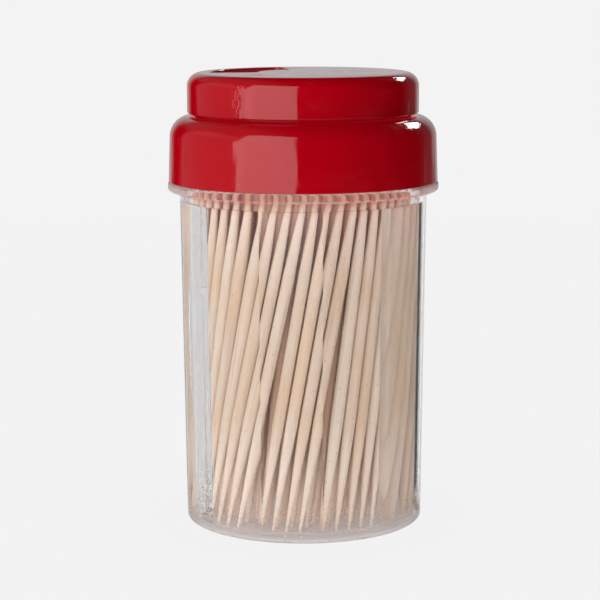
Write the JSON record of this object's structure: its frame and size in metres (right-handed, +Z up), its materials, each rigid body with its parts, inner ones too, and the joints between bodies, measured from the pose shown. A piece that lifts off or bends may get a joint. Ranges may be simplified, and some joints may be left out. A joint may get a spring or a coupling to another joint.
{
  "type": "toothpick dispenser",
  "caption": "Clear round jar full of upright toothpicks under a two-tier push-on lid whose upper tier turns as a dial with an arc window.",
  "frame": {"origin": "centre of the jar's foot, on the surface that the object stands on", "axes": "+Z up along the jar's axis, -Y towards the picture's camera, +X to its right"},
  "size_m": [0.0482, 0.0482, 0.0806],
  "materials": {
    "clear_styrene": "clear moulded, glossy",
    "red_gloss_plastic": "moulded, glossy, lightly scuffed",
    "toothpick_wood": "bare pale wood"
  },
  "bodies": {
    "jar": {"jar": "clear_styrene", "toothpick_1": "toothpick_wood", "toothpick_2": "toothpick_wood", "toothpick_3": "toothpick_wood", "toothpick_4": "toothpick_wood", "toothpick_5": "toothpick_wood", "toothpick_6": "toothpick_wood", "toothpick_7": "toothpick_wood", "toothpick_8": "toothpick_wood", "toothpick_9": "toothpick_wood", "toothpick_10": "toothpick_wood", "toothpick_11": "toothpick_wood", "toothpick_12": "toothpick_wood", "toothpick_13": "toothpick_wood", "toothpick_14": "toothpick_wood", "toothpick_15": "toothpick_wood", "toothpick_16": "toothpick_wood", "toothpick_17": "toothpick_wood", "toothpick_18": "toothpick_wood", "toothpick_19": "toothpick_wood", "toothpick_20": "toothpick_wood", "toothpick_21": "toothpick_wood", "toothpick_22": "toothpick_wood", "toothpick_23": "toothpick_wood", "toothpick_24": "toothpick_wood", "toothpick_25": "toothpick_wood", "toothpick_26": "toothpick_wood", "toothpick_27": "toothpick_wood", "toothpick_28": "toothpick_wood", "toothpick_29": "toothpick_wood", "toothpick_30": "toothpick_wood", "toothpick_31": "toothpick_wood", "toothpick_32": "toothpick_wood", "toothpick_33": "toothpick_wood", "toothpick_34": "toothpick_wood", "toothpick_35": "toothpick_wood", "toothpick_36": "toothpick_wood", "toothpick_37": "toothpick_wood", "toothpick_38": "toothpick_wood", "toothpick_39": "toothpick_wood", "toothpick_40": "toothpick_wood", "toothpick_41": "toothpick_wood", "toothpick_42": "toothpick_wood", "toothpick_43": "toothpick_wood", "toothpick_44": "toothpick_wood", "toothpick_45": "toothpick_wood", "toothpick_46": "toothpick_wood", "toothpick_47": "toothpick_wood", "toothpick_48": "toothpick_wood", "toothpick_49": "toothpick_wood", "toothpicks_ring_2": "toothpick_wood", "toothpicks_ring_3": "toothpick_wood", "toothpicks_ring_4": "toothpick_wood", "toothpicks_ring_5": "toothpick_wood", "toothpicks_ring_6": "toothpick_wood", "toothpicks_ring_7": "toothpick_wood", "toothpicks_ring_8": "toothpick_wood"},
    "collar": {"lid_collar": "red_gloss_plastic"},
    "dial": {"lid_dial": "red_gloss_plastic"}
  },
  "joints": [
    {"name": "collar_lift", "type": "slide", "parent": "jar", "child": "collar", "axis": [0, 0, 1], "range_m": [0, 0.03]},
    {"name": "dial_turn", "type": "hinge", "parent": "collar", "child": "dial", "pos_m": [0, 0, 0.07825], "axis": [0, 0, 1], "continuous": true}
  ]
}
